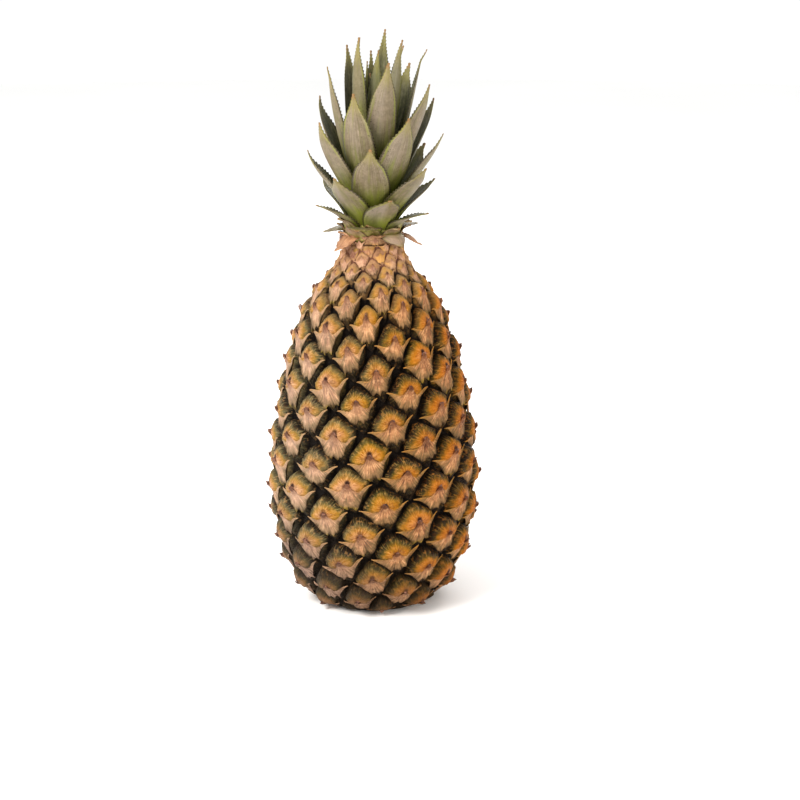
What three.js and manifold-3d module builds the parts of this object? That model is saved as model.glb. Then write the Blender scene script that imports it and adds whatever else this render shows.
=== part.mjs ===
// A whole pineapple standing on its base: the fruit with its spiral of eyes, the cut stalk under it,
// and the crown's short stem with every leaf as a piece of its own. Millimetres, +Z up, origin on the
// resting face at the middle of the cut stalk. The front of the fruit faces -Y.
import * as THREE from "three";
import { mergeVertices } from "three/addons/utils/BufferGeometryUtils.js";
import Module from "manifold-3d";

const wasm = await Module();
wasm.setup();

// Driving dimensions
const NECK_HEIGHT = 214; // the fruit's flat top, where the crown sits
const CLEARANCE = 0.35; // between pieces that touch
const GOLDEN_ANGLE = 137.5; // degrees from one eye or leaf to the next, clockwise seen from above

// Outline of the skin, [radius, height], from under the base to just above the neck
const SKIN_OUTLINE = [
  [12, -3.5], [24, -2.2], [31.5, 0.4], [38, 5.5], [44.5, 14], [50, 25], [54.2, 38], [57, 53], [58.3, 70],
  [57.8, 88], [56, 106], [52.8, 124], [48.8, 142], [43.6, 160], [36.6, 177], [30.4, 187.5], [24.8, 195],
  [20.6, 202], [17.8, 208], [16.4, 213], [16.1, 219],
];
const EYE_SPACING = 1.37; // along the skin, from one eye to the next one of the spiral
const EYE_SHRINK_RADIUS = 34; // where the fruit is narrower than this, eyes get smaller
const EYE_SHRINK_POWER = 1.6; // and flatter, towards the neck
const FIRST_EYE_ANGLE = 32.8; // degrees to the right of the front, of the lowest corner of eye 0
const EYE_AT_REST_PLANE = 15; // place in the spiral that is level with the resting face
const LEFT_ROWS = 8; // eyes stand in 8 spirals that climb to the left
const RIGHT_ROWS = 13; // and in 13 that climb to the right
const LEFT_TURN = LEFT_ROWS * GOLDEN_ANGLE - 3 * 360; // degrees left, from an eye to the next of its row
const RIGHT_TURN = 5 * 360 - RIGHT_ROWS * GOLDEN_ANGLE; // and to the right

// Height of an eye over the outline, at these steps up its two sides from its lowest corner: a crease
// all round, deepest halfway along a side and bridged by the bracts' points at the corners; a dry bract
// on the lower half, with a side point at left and right and a spine in the middle; a dome above it.
const EYE_STEPS = [0, 0.16, 0.38, 0.6, 0.84];
const EYE_RELIEF = [
  [-1.4, -3.2, -4.4, -4.4, -3.4],
  [-3.2, -0.6, -1.5, -1.2, 1.6],
  [-4.4, -1.5, 0.7, 1.1, -0.3],
  [-4.4, -1.2, 1.1, 4.6, 0.9],
  [-3.4, 1.6, -0.3, 0.9, 0],
];
const FLAT_EYE_RADIUS = 15; // where the fruit is this narrow its eyes are all but flat
const FULL_EYE_RADIUS = 38; // and from this radius on they have their whole relief
const FLATTEST_EYE = 0.22; // share of the relief that is left at the neck
const SMOOTH_BASE_HEIGHT = 9; // below this the relief fades out towards the resting face

const STALK_RADIUS = 11.5;
const STALK_DEPTH = 17; // how far it runs up into the fruit
const BASIN_RADIUS = 19; // of the hollow round the stalk
const BASIN_DEPTH = 3;

const CROWN_BASE = NECK_HEIGHT + CLEARANCE;
const CROWN_STEM_HEIGHT = 50;
const CROWN_STEM_RADIUS = 15;
const CROWN_STEM_TIP_RADIUS = 3.2;
const CROWN_BEND = 0.0005; // the crown's sideways lean, per square millimetre of height

const LEAF_COUNT = 48;
const DRY_LEAVES = 4; // small dry ones under the crown
const OUTER_LEAVES = 37; // their tips climb evenly; the rest close the heart
const FIRST_LEAF_ANGLE = 226.5; // degrees to the right of the front
const LOWEST_ROOT = 1.6;
const HIGHEST_ROOT = 46.5;
const ROOT_CROWDING = 1.5; // roots stand closer together at the crown's foot than in its heart
const LOWEST_TIP = -3;
const LEVEL_LEAF = 4; // the leaf whose tip is level with its crown's base
const LEAF_TIP_STEP = 3.55; // each leaf's tip is this much higher than the last
const HEART_DROP = 26; // the last leaf's tip stays this far below the highest one
const HEART_RADIUS = 4; // and its tip this far from the axis
const LEAF_ROOT_THICKNESS = 2.2;
const LEAF_TIP_THICKNESS = 1.1;
const LEAF_SHEATH = 3; // how far a leaf follows the stem before it leans out
const LEAF_MARGIN = 0.7; // thickness of a leaf at its edges
const LEAF_WIDEST = 0.4; // share of its length
const LEAF_ROOT_SHARE = 0.74; // its width at the root, as a share of the greatest
const TOOTH = 0.9; // how far a tooth stands out of a leaf's edge
const TOOTH_SPACING = 22;
const CUP = 0.12; // how much tighter a leaf is rolled than the circle it follows

// Radius that the leaf tips reach, by height over the crown's base
const CROWN_OUTLINE = [
  [-6, 25], [0, 29], [12, 32], [28, 34], [50, 38], [68, 38], [88, 33], [104, 26], [118, 18], [128, 12],
];
// By the leaf's number: degrees between its root, or its tip, and the upright; and its width
const ROOT_LEAN = [[0, 50], [4, 22], [13, 24], [23, 26], [38, 18], [47, 8]];
const TIP_LEAN = [[0, 140], [4, 105], [8, 80], [12, 45], [16, 20], [23, 14], [33, 8], [47, 2]];
const LEAF_WIDTH = [[0, 11], [3, 14], [5, 20], [9, 22], [20, 23], [32, 20], [37, 11.5], [47, 5]];
const ACROSS = [-1, -0.4, 0.4, 1, 1, 0.4, -0.4, -1]; // places of a leaf's points, outer face and then inner

const radians = THREE.MathUtils.degToRad;
const { clamp, lerp, smoothstep } = THREE.MathUtils;

// The unit vector that points outwards at an angle to the right of the front
function outward(angle) {
  return new THREE.Vector3(Math.sin(radians(angle)), -Math.cos(radians(angle)), 0);
}

// A closed geometry as a solid for boolean work
function solidOf(geometry) {
  const bare = geometry.clone();
  bare.deleteAttribute("normal");
  bare.deleteAttribute("uv");
  const merged = mergeVertices(bare, 1e-4);
  const index = merged.index.array;
  const kept = [];
  for (let i = 0; i < index.length; i += 3) {
    const [a, b, c] = index.subarray(i, i + 3);
    if (a !== b && b !== c && c !== a) kept.push(a, b, c);
  }
  return new wasm.Manifold(new wasm.Mesh({
    numProp: 3,
    vertProperties: merged.attributes.position.array,
    triVerts: new Uint32Array(kept),
  }));
}

// A solid back as a geometry that three.js can draw
function geometryOf(solid) {
  const mesh = solid.getMesh();
  const geometry = new THREE.BufferGeometry();
  geometry.setAttribute("position", new THREE.BufferAttribute(mesh.vertProperties, 3));
  geometry.setIndex(new THREE.BufferAttribute(mesh.triVerts, 1));
  geometry.computeVertexNormals();
  return geometry;
}

// A sheet of columns by rows whose points are moved to place(column, row). Each cell is split in two
// from its lower right to its upper left corner, or the other way in the columns that mirrored names.
function shapedGrid(columns, rows, place, mirrored = () => false) {
  const sheet = new THREE.PlaneGeometry(1, 1, columns, rows);
  const position = sheet.attributes.position;
  for (let i = 0; i < position.count; i += 1) {
    const spot = place(i % (columns + 1), Math.floor(i / (columns + 1)));
    position.setXYZ(i, spot.x, spot.y, spot.z);
  }
  const index = [];
  for (let row = 0; row < rows; row += 1) {
    for (let column = 0; column < columns; column += 1) {
      const a = row * (columns + 1) + column;
      const b = a + columns + 1;
      if (mirrored(column)) index.push(a, a + 1, b, a + 1, b + 1, b);
      else index.push(a, a + 1, b + 1, a, b + 1, b);
    }
  }
  return sheet.setIndex(index);
}

// A lathe-turned solid, from [radius, height] pairs that start and end on the axis
function turned(outline, segments) {
  return new THREE.LatheGeometry(outline.map(([r, z]) => new THREE.Vector2(r, z)), segments)
    .rotateX(Math.PI / 2);
}

// The skin's outline as a curve, with the place in the eye spiral at each step along it
const SKIN_SAMPLES = 600;
const skinCurve = new THREE.SplineCurve(SKIN_OUTLINE.map(([r, z]) => new THREE.Vector2(r, z)));
const skinPoints = skinCurve.getSpacedPoints(SKIN_SAMPLES);
const skinStep = skinCurve.getLength() / SKIN_SAMPLES;
const skinPlaces = [0];
for (let i = 1; i <= SKIN_SAMPLES; i += 1) {
  const spacing = EYE_SPACING * Math.min(1, skinPoints[i].x / EYE_SHRINK_RADIUS) ** EYE_SHRINK_POWER;
  skinPlaces.push(skinPlaces[i - 1] + skinStep / spacing);
}
const firstPlace = EYE_AT_REST_PLANE - skinPlaces[skinPoints.findIndex((point) => point.y >= 0)];
skinPlaces.forEach((place, i) => { skinPlaces[i] = place + firstPlace; });
const lastPlace = skinPlaces[SKIN_SAMPLES];

// The outline's point and outward normal at a place in the eye spiral
function skinAt(place) {
  let low = 0;
  let high = SKIN_SAMPLES;
  while (high - low > 1) {
    const middle = (low + high) >> 1;
    if (skinPlaces[middle] > place) high = middle;
    else low = middle;
  }
  const share = (place - skinPlaces[low]) / (skinPlaces[high] - skinPlaces[low]);
  const point = skinPoints[low].clone().lerp(skinPoints[high], share);
  const along = skinPoints[high].clone().sub(skinPoints[low]).normalize();
  return { radius: point.x, height: point.y, normal: new THREE.Vector2(along.y, -along.x) };
}

// Share of the full relief that the eyes have at a radius and a height
function eyeSize(radius, height) {
  const grown = clamp(smoothstep(radius, FLAT_EYE_RADIUS, FULL_EYE_RADIUS), FLATTEST_EYE, 1);
  return grown * smoothstep(height, -1, SMOOTH_BASE_HEIGHT);
}

// The fruit: its skin is laid out on the two sets of spirals, so each eye is one cell of the grid
function fruitSolid() {
  const steps = EYE_STEPS.length;
  const columns = LEFT_ROWS * steps;
  const firstCell = Math.floor(firstPlace / LEFT_ROWS) - RIGHT_ROWS;
  const rows = (Math.ceil(lastPlace / LEFT_ROWS) - firstCell) * steps;
  return solidOf(shapedGrid(columns, rows, (column, row) => {
    // the last column is the first one again, further up the other spirals
    const wrapped = column === columns;
    const rightCell = wrapped ? 0 : Math.floor(column / steps);
    const leftCell = firstCell + Math.floor(row / steps) + (wrapped ? RIGHT_ROWS : 0);
    const left = leftCell + EYE_STEPS[row % steps];
    const right = rightCell + EYE_STEPS[column % steps];
    const place = LEFT_ROWS * left + RIGHT_ROWS * right;
    if (place <= firstPlace) return new THREE.Vector3(0, 0, SKIN_OUTLINE[0][1]);
    if (place >= lastPlace) return new THREE.Vector3(0, 0, SKIN_OUTLINE.at(-1)[1]);
    const { radius, height, normal } = skinAt(place);
    const rise = eyeSize(radius, height) * EYE_RELIEF[row % steps][column % steps];
    const angle = FIRST_EYE_ANGLE - LEFT_TURN * left + RIGHT_TURN * right;
    const spot = outward(angle).multiplyScalar(radius + rise * normal.x);
    spot.z = height + rise * normal.y;
    return spot;
  }));
}

// The value at a place in a list of [place, value] pairs, evened between them
function alongOutline(pairs, place) {
  const next = pairs.findIndex(([at]) => at > place);
  if (next === -1) return pairs.at(-1)[1];
  if (next === 0) return pairs[0][1];
  const [low, high] = [pairs[next - 1], pairs[next]];
  const straight = (place - low[0]) / (high[0] - low[0]);
  return lerp(low[1], high[1], (straight + smoothstep(place, low[0], high[0])) / 2);
}

// A leaf's half-width along its length, as a share of its greatest one
function leafOutline(along) {
  if (along < LEAF_WIDEST) return lerp(LEAF_ROOT_SHARE, 1, smoothstep(along, 0, LEAF_WIDEST));
  return 1 - ((along - LEAF_WIDEST) / (1 - LEAF_WIDEST)) ** 2.4;
}

// The crown's stem, from the fruit's top up into the heart of the crown
function crownStemRadius(height) {
  const share = clamp(height / CROWN_STEM_HEIGHT, 0, 1);
  return lerp(CROWN_STEM_RADIUS, CROWN_STEM_TIP_RADIUS, share ** 1.15);
}

function crownStem(grown) {
  const outline = [[0, -grown], [CROWN_STEM_RADIUS + grown, -grown]];
  for (let height = 0; height <= CROWN_STEM_HEIGHT; height += 10) {
    outline.push([crownStemRadius(height) + grown, height]);
  }
  outline.push([0, CROWN_STEM_HEIGHT + 2 + grown]);
  return solidOf(turned(outline, 16));
}

// A leaf's midline, from its root on the crown's stem to its tip, as [distance from the axis, height]
function leafMidline(number) {
  const closing = clamp((number - OUTER_LEAVES) / (LEAF_COUNT - OUTER_LEAVES), 0, 1);
  const climb = LEAF_TIP_STEP * (Math.min(number, OUTER_LEAVES) - LEVEL_LEAF);
  const tipHeight = Math.max(LOWEST_TIP, climb) - HEART_DROP * closing;
  const tipRadius = lerp(alongOutline(CROWN_OUTLINE, tipHeight), HEART_RADIUS, Math.sqrt(closing));
  const rootShare = (number / (LEAF_COUNT - 1)) ** ROOT_CROWDING;
  const rootHeight = lerp(LOWEST_ROOT, HIGHEST_ROOT, rootShare);
  const rootRadius = crownStemRadius(rootHeight);
  const rootLean = radians(alongOutline(ROOT_LEAN, number));
  const tipLean = radians(alongOutline(TIP_LEAN, number));
  const span = Math.hypot(tipRadius - rootRadius, tipHeight - rootHeight);
  const rise = LEAF_SHEATH + 0.35 * span;
  const fall = 0.3 * span;
  return new THREE.CubicBezierCurve(
    new THREE.Vector2(rootRadius - 2, rootHeight - 1.5),
    new THREE.Vector2(rootRadius + rise * Math.sin(rootLean), rootHeight + rise * Math.cos(rootLean)),
    new THREE.Vector2(tipRadius - fall * Math.sin(tipLean), tipHeight - fall * Math.cos(tipLean)),
    new THREE.Vector2(tipRadius, tipHeight),
  );
}

// A point of the upright crown, where the crown's lean takes it
function bent(point) {
  const height = Math.max(point.z, 0);
  point.z -= 2 * CROWN_BEND * height * point.x;
  point.x += CROWN_BEND * height ** 2;
  return point;
}

// One crown leaf: a channelled blade that follows a circle round the crown, so that leaves lie in
// one another like cups. It thins to its edges, which are toothed, and ends in a point.
function leafSolid(number) {
  const midline = leafMidline(number);
  const halfWidth = alongOutline(LEAF_WIDTH, number) / 2;
  const angle = FIRST_LEAF_ANGLE - GOLDEN_ANGLE * number;
  const teeth = Math.max(2, Math.round(midline.getLength() / TOOTH_SPACING));
  const rows = 2 * teeth + 2;
  const blade = shapedGrid(8, rows, (column, row) => {
    const along = row / rows;
    const spot = midline.getPointAt(along);
    const tangent = midline.getTangentAt(along);
    const ends = row === 0 || row === rows;
    const across = ends ? 0 : ACROSS[column % 8];
    const face = column % 8 < 4 ? 1 : -1;
    const tooth = Math.abs(across) === 1 && row % 2 === 1 && row > 1 ? TOOTH : 0;
    const reach = across * (halfWidth * leafOutline(along) + tooth);
    const middle = lerp(LEAF_ROOT_THICKNESS, LEAF_TIP_THICKNESS, along);
    const half = ends ? 0 : (face * lerp(middle, LEAF_MARGIN, Math.abs(across) ** 1.5)) / 2;
    const radius = spot.x - (CUP * reach ** 2) / halfWidth + half * tangent.y;
    const turn = angle + THREE.MathUtils.radToDeg(reach / Math.max(spot.x, 3));
    const point = outward(turn).multiplyScalar(Math.max(radius, 0.4));
    point.z = spot.y - half * tangent.x;
    return bent(point);
  }, (column) => column > 3);
  return solidOf(blade).subtract(crownStem(CLEARANCE));
}

// The cut stalk, whose lower face is level with the base of the fruit
function stalkSolid() {
  const chamfer = 0.6;
  return solidOf(turned([
    [0, 0], [STALK_RADIUS - chamfer, 0], [STALK_RADIUS, chamfer],
    [STALK_RADIUS, STALK_DEPTH], [0, STALK_DEPTH],
  ], 24));
}

// What is cut from the fruit: all below the resting face and above the neck, and the stalk's socket
function fruitCuts() {
  const wide = 100;
  const socket = STALK_RADIUS + CLEARANCE;
  const below = turned([
    [0, -wide], [wide, -wide], [wide, 0], [BASIN_RADIUS, 0], [socket, BASIN_DEPTH],
    [socket, STALK_DEPTH + CLEARANCE], [0, STALK_DEPTH + CLEARANCE],
  ], 32);
  const lid = NECK_HEIGHT + wide;
  const above = turned([[0, NECK_HEIGHT], [wide, NECK_HEIGHT], [wide, lid], [0, lid]], 8);
  return [solidOf(below), solidOf(above)];
}

function finish(name, color, roughness) {
  return new THREE.MeshStandardMaterial({ name, color, roughness, metalness: 0 });
}

const materials = {
  skin: finish("skin", 0x9a7438, 0.62),
  stalk: finish("stalk", 0xb29a6c, 0.85),
  leaf: finish("leaf", 0x7f8664, 0.55),
  dryLeaf: finish("dry_leaf", 0xa9785a, 0.7),
  crownStem: finish("crown_stem", 0xa8a06a, 0.7),
};

function named(name, solid, material) {
  const mesh = new THREE.Mesh(geometryOf(solid), material);
  mesh.name = name;
  return mesh;
}

const pineapple = new THREE.Group();
const fruit = fruitCuts().reduce((left, cut) => left.subtract(cut), fruitSolid());
pineapple.add(named("fruit", fruit, materials.skin));
pineapple.add(named("stalk", stalkSolid(), materials.stalk));

const crown = new THREE.Group();
crown.position.z = CROWN_BASE;
crown.add(named("crown_stem", crownStem(0), materials.crownStem));
for (let number = 0; number < LEAF_COUNT; number += 1) {
  const label = String(number + 1).padStart(2, "0");
  const material = number < DRY_LEAVES ? materials.dryLeaf : materials.leaf;
  crown.add(named(`crown_leaf_${label}`, leafSolid(number), material));
}
pineapple.add(crown);

export default pineapple;
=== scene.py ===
# A whole pineapple standing on its base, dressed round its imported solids.
# Sizes are in millimetres up to the point where a mesh is written, which is in metres.
import math

import bmesh
import bpy
import numpy as np
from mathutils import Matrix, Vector


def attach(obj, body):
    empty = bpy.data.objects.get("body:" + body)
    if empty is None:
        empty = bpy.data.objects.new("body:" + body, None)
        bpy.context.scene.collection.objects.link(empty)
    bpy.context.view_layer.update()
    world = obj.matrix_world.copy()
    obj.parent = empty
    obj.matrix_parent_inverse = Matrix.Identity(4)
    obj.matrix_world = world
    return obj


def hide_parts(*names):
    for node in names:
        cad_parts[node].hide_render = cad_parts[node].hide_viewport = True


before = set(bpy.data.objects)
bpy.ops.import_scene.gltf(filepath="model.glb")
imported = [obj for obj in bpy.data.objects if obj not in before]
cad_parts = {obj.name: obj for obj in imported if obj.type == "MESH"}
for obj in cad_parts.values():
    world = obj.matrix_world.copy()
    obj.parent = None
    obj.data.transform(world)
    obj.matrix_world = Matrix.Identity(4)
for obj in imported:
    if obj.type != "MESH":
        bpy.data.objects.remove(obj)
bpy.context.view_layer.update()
mm = 0.001


# Places on the fruit

fruit = {
    "outline": [
        (12, -3.5), (24, -2.2), (31.5, 0.4), (38, 5.5), (44.5, 14), (50, 25), (54.2, 38), (57, 53),
        (58.3, 70), (57.8, 88), (56, 106), (52.8, 124), (48.8, 142), (43.6, 160), (36.6, 177),
        (30.4, 187.5), (24.8, 195), (20.6, 202), (17.8, 208), (16.4, 213), (16.1, 219),
    ],
    "neckHeight": 213.8,
    "eyeSpacing": 1.37,        # along the skin, from one eye to the next of the spiral
    "shrinkRadius": 34,        # where the fruit is narrower, eyes get smaller
    "shrinkPower": 1.6,        # and flatter, towards the neck
    "firstAngle": 32.8,        # degrees right of the front, lowest corner of eye 0
    "placeAtRest": 15,         # place in the spiral that is level with the resting face
    "leftRows": 8, "rightRows": 13,
    "leftTurn": 20.0, "rightTurn": 12.5,
    "nubShare": 0.6,           # where the spine stands, up both sides of an eye
    "flatRadius": 15, "fullRadius": 38, "flattest": 0.22, "smoothHeight": 9,
    "reachUp": 8.6, "bareTop": 4,  # places: how far up an eye's spine is, and how many at the top have none
}


def splinePoints(outline, stepsEach):  # a Catmull-Rom curve through the outline
    points = np.array(outline, float)
    padded = np.vstack([points[0], points, points[-1]])
    found = []
    for i in range(len(points) - 1):
        a, b, c, d = padded[i:i + 4]
        for t in np.linspace(0, 1, stepsEach, endpoint=False):
            v0, v1 = (c - a) / 2, (d - b) / 2
            found.append((2 * b - 2 * c + v0 + v1) * t ** 3 + (-3 * b + 3 * c - 2 * v0 - v1) * t ** 2
                         + v0 * t + b)
    return np.array(found + [points[-1]])


curve = splinePoints(fruit["outline"], 60)
steps = np.hypot(*np.diff(curve, axis=0).T)
spacing = fruit["eyeSpacing"] * np.minimum(1, curve[1:, 0] / fruit["shrinkRadius"]) ** fruit["shrinkPower"]
curvePlace = np.concatenate([[0], np.cumsum(steps / spacing)])
curvePlace += fruit["placeAtRest"] - curvePlace[np.argmax(curve[:, 1] >= 0)]
firstPlace, lastPlace = curvePlace[0], curvePlace[-1]
slope = np.gradient(curve, axis=0)
slope /= np.hypot(slope[:, 0], slope[:, 1])[:, None]


def smoothStep(value, low, high):
    t = np.clip((value - low) / (high - low), 0, 1)
    return t * t * (3 - 2 * t)


def varied(leastAndMore, draw):  # a size between its least and its most
    least, more = leastAndMore
    return least + more * draw


def eyeSize(radius, height):  # share of the full relief at a radius and height
    grown = np.clip(smoothStep(radius, fruit["flatRadius"], fruit["fullRadius"]), fruit["flattest"], 1)
    return grown * smoothStep(height, -1, fruit["smoothHeight"])


def skinPoint(left, right, rise):
    # the point at left and right rows along the two spirals, raised off the outline
    place = np.clip(fruit["leftRows"] * left + fruit["rightRows"] * right, firstPlace, lastPlace)
    radius, height, alongR, alongZ = (np.interp(place, curvePlace, values)
                                      for values in (*curve.T, *slope.T))
    raised = rise * eyeSize(radius, height)
    angle = np.radians(fruit["firstAngle"] - fruit["leftTurn"] * left + fruit["rightTurn"] * right)
    reach = radius + raised * alongZ
    return np.stack([reach * np.sin(angle), -reach * np.cos(angle), height - raised * alongR], axis=-1)


# An eye's own millimetres, from its spine: x to the right and y up
leftSide = np.array([-19.9, 10.96])
rightSide = np.array([12.4, 17.8])
toShares = np.linalg.inv(np.array([leftSide, rightSide]).T)


def eyeShares(x, y):  # from an eye's own millimetres to shares up its two sides
    return [row[0] * x + row[1] * y + fruit["nubShare"] for row in toShares]


def eyeMillimetres(left, right):
    a, b = left - fruit["nubShare"], right - fruit["nubShare"]
    return [leftSide[i] * a + rightSide[i] * b for i in (0, 1)]


eyeVaries = {"turn": 0.34, "shiftX": 1.8, "shiftY": 1.5, "firstPlace": -200}  # spreads in radians and mm
eyeDrawTable = np.random.default_rng(7).random((600, 8))


def eyeDraws(place):  # eight draws for the eye that starts at a place of the spiral
    return eyeDrawTable[np.clip(place - eyeVaries["firstPlace"], 0, len(eyeDrawTable) - 1)].T


def ownPlace(x, y, draws):  # from the cell's millimetres to the eye's own, which is turned and shifted
    angle = eyeVaries["turn"] * (draws[2] - 0.5)
    offX, offY = x - eyeVaries["shiftX"] * (draws[3] - 0.5), y - eyeVaries["shiftY"] * (draws[4] - 0.5)
    return np.cos(angle) * offX + np.sin(angle) * offY, np.cos(angle) * offY - np.sin(angle) * offX


def cellPlace(x, y, draws):  # the way back, from an eye's own millimetres to the cell's
    angle = eyeVaries["turn"] * (draws[2] - 0.5)
    backX = np.cos(angle) * x - np.sin(angle) * y + eyeVaries["shiftX"] * (draws[3] - 0.5)
    backY = np.sin(angle) * x + np.cos(angle) * y + eyeVaries["shiftY"] * (draws[4] - 0.5)
    return backX, backY


def eyeList():  # left and right row of every eye, from the base to the neck
    found = []
    for right in range(fruit["leftRows"]):
        for left in range(-20, 40):  # wide enough for every eye
            place = fruit["leftRows"] * left + fruit["rightRows"] * right
            if fruit["placeAtRest"] < place + fruit["reachUp"] and place < lastPlace - fruit["bareTop"]:
                found.append((place, left, right))
    return sorted(found)


# Shapes of an eye

dome = {
    "centre": (-0.6, -0.8), "radius": 12.3,
    "crease": -4.3,            # depth between two eyes
    "shoulder": 2.2,           # how wide the dome's rounded edge is
    "shoulderPower": 2.4,
    "top": 1.0, "crown": 3.0,  # height at the rim of the top, and what the middle adds
    "crownRadius": 9.5,
    "rimOffset": 0.5, "roundness": 2.3, "footRoundness": 0.9,
    "footShare": 0.25, "footWidth": 5,  # its lower corner lies lower
    "ridges": 23, "ridgeHeight": 0.42, "ridgeBend": 2.2, "ridgesFrom": (4.5, 8),
    "radiusVaries": 0.8, "topVaries": 0.7,
}
bract = {
    "wingTips": (-14.6, 13.8),  # x of the left and right point
    "tilt": 0.19,               # the right point stands higher
    "sink": -2.3,               # how far the wings lie under the spine
    "beak": 3.0, "beakWidth": 2.3,
    "hump": 3.0, "humpWidth": 1.9,
    "height": 1.7, "sag": 0.0125, "arch": 0.024,  # over the outline, and its fall downwards and sideways
    "curl": 3.4, "curlFrom": (6.5, 14.5),         # of the wings, outwards
    "brow": 0.6,
    "dip": 1.7, "dipPlace": 5.6, "dipWidth": 3, "dipSkew": 0.4,  # of the upper edge, beside the beak
    "upturn": 1.1, "upturnFrom": 0.55,
    "ragged": 2.6, "raggedPitch": 0.85, "raggedWidth": 6, "dropVaries": (0.86, 0.28), "leastHeight": 0.12,
    "drop": 12.2,               # how far the apron hangs
    "apron": 3.9,               # from the middle to where the lower edge starts to rise
    "sweep": 4.4,               # how gently it rises towards the points
    "flare": 0.36, "flareFrom": (2, 12), "lean": 0.1,  # its hem is wider and leans to the right
    "loose": (0.2, 1.6), "pleat": 0.42, "reachVaries": (0.9, 0.16), "lowest": 0.3, "bedGap": 0.6,
    "crowding": 1.25, "columns": 22, "rows": 8,
    "thickness": 0.4,
}


def bractEdges(x, draws):  # upper and lower edge of a bract at x
    reach = np.where(x < 0, -bract["wingTips"][0], bract["wingTips"][1])
    off = np.abs(x)
    side = np.clip(off / reach, 0, 1)
    middle = bract["tilt"] * x + bract["sink"] + bract["upturn"] * smoothStep(side, bract["upturnFrom"], 1)
    top = middle + bract["hump"] * np.exp(-(x / bract["humpWidth"]) ** 2) + bract["brow"] * (1 - side)
    dip = bract["dip"] * (1 + bract["dipSkew"] * np.tanh(x / bract["dipWidth"]))
    top = top - dip * np.exp(-((off - bract["dipPlace"]) / bract["dipWidth"]) ** 2)
    sweep = np.exp(-np.maximum(off - bract["apron"], 0) / bract["sweep"]) * (1 - side ** 4)
    ragged = bract["ragged"] * np.abs(np.sin(bract["raggedPitch"] * x + 6.3 * draws[0]))
    ragged = ragged * np.exp(-(off / bract["raggedWidth"]) ** 4)
    body = (bract["drop"] * varied(bract["dropVaries"], draws[1]) - ragged) * sweep
    return top, np.minimum(top - bract["leastHeight"], middle - body)


def bractSpread(y):  # how much wider the apron is at y, and how far it leans
    below = bract["sink"] - y
    return 1 + bract["flare"] * smoothStep(below, *bract["flareFrom"]), below * bract["lean"]


def bractRise(x, y):  # height of the bract over the outline
    curl = bract["curl"] * smoothStep(np.abs(x), *bract["curlFrom"])
    beak = bract["beak"] * np.exp(-(x ** 2 + (y - 0.2) ** 2) / bract["beakWidth"] ** 2)
    return bract["height"] - bract["sag"] * np.minimum(y, 0) ** 2 - bract["arch"] * x ** 2 + curl + beak


def softLeast(a, b, give):  # the smaller of two lengths, rounded where they meet
    return -give * np.log(np.exp(-a / give) + np.exp(-b / give))


def skinRise(left, right, draws):
    # height of the skin, a dome over a crease with the bed of the bract, and its distance from the crease
    x, y = ownPlace(*eyeMillimetres(left, right), draws)
    area = abs(leftSide[0] * rightSide[1] - leftSide[1] * rightSide[0])
    acrossLeft, acrossRight = area / np.hypot(*rightSide), area / np.hypot(*leftSide)
    upper = softLeast((1 - left) * acrossLeft, (1 - right) * acrossRight, dome["roundness"])
    lower = softLeast(left * acrossLeft, right * acrossRight, dome["footRoundness"])
    offX = x - dome["centre"][0]
    offY = np.maximum(y - dome["centre"][1] - bract["tilt"] * x, 0)
    away = np.hypot(offX, offY)
    radius = dome["radius"] + dome["radiusVaries"] * (draws[1] - 0.5)
    fromRim = np.maximum(np.minimum(dome["rimOffset"] + upper, radius - away), 0)
    angle = np.arctan2(offY + 0.5, offX)
    top = dome["top"] + dome["crown"] * (1 - (away / dome["crownRadius"]) ** 2)
    top = top + dome["topVaries"] * (draws[0] - 0.5)
    bend = dome["ridgeBend"] * np.sin(3 * angle + 6 * draws[0])
    ridge = np.sin(angle * dome["ridges"] + 9 * draws[1] + bend)
    top = top + dome["ridgeHeight"] * ridge * smoothStep(away, *dome["ridgesFrom"])
    shoulder = 1 - (1 - np.clip(fromRim / dome["shoulder"], 0, 1)) ** dome["shoulderPower"]
    foot = dome["footShare"] + (1 - dome["footShare"]) * smoothStep(lower, 0, dome["footWidth"])
    rise = dome["crease"] + (top - dome["crease"]) * shoulder * foot
    wider, leaning = bractSpread(y)
    inX = (x - leaning) / wider
    hemTop, hem = bractEdges(inX, draws)
    inside = smoothStep(y, hem - 0.8, hem + 0.4) * (1 - smoothStep(y, hemTop - 1, hemTop + 0.6))
    bed = np.minimum(rise, bractRise(inX, y) - bract["bedGap"])
    return rise + (bed - rise) * inside, np.minimum(fromRim, 0.6 * lower + 0.4)


# Mesh helpers

def newPiece(name, bm, *materials, mesh=None):
    mesh = mesh or bpy.data.meshes.new(name)
    bm.to_mesh(mesh)
    bm.free()
    piece = bpy.data.objects.new(name, mesh)
    bpy.context.scene.collection.objects.link(piece)
    for material in materials:
        mesh.materials.append(material)
    mesh.shade_smooth()
    return piece


def newSheet(bm, columns, rows):  # a grid's vertices, and their places across (-1 to 1) and up (0 to 1)
    verts = bmesh.ops.create_grid(bm, x_segments=columns, y_segments=rows, size=1)["verts"]
    flat = np.array([v.co[:2] for v in verts])
    return verts, flat[:, 0], (flat[:, 1] + 1) / 2


def placeSheet(verts, points, maps=None):
    # moves a sheet's vertices and fills its UV maps, each with one pair for all or one for each vertex
    for vert, point in zip(verts, points * mm):
        vert.co = point
    number = {vert: i for i, vert in enumerate(verts)}
    for face in {f for v in verts for f in v.link_faces} if maps else ():
        for loop in face.loops:
            for layer, values in maps.items():
                loop[layer].uv = values if len(values) == 2 else values[number[loop.vert]]


def thicken(piece, thickness):  # to both sides of the sheet
    shell = piece.modifiers.new("thickness", "SOLIDIFY")
    shell.thickness = thickness * mm
    shell.offset = 0
    return shell


# Materials

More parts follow.
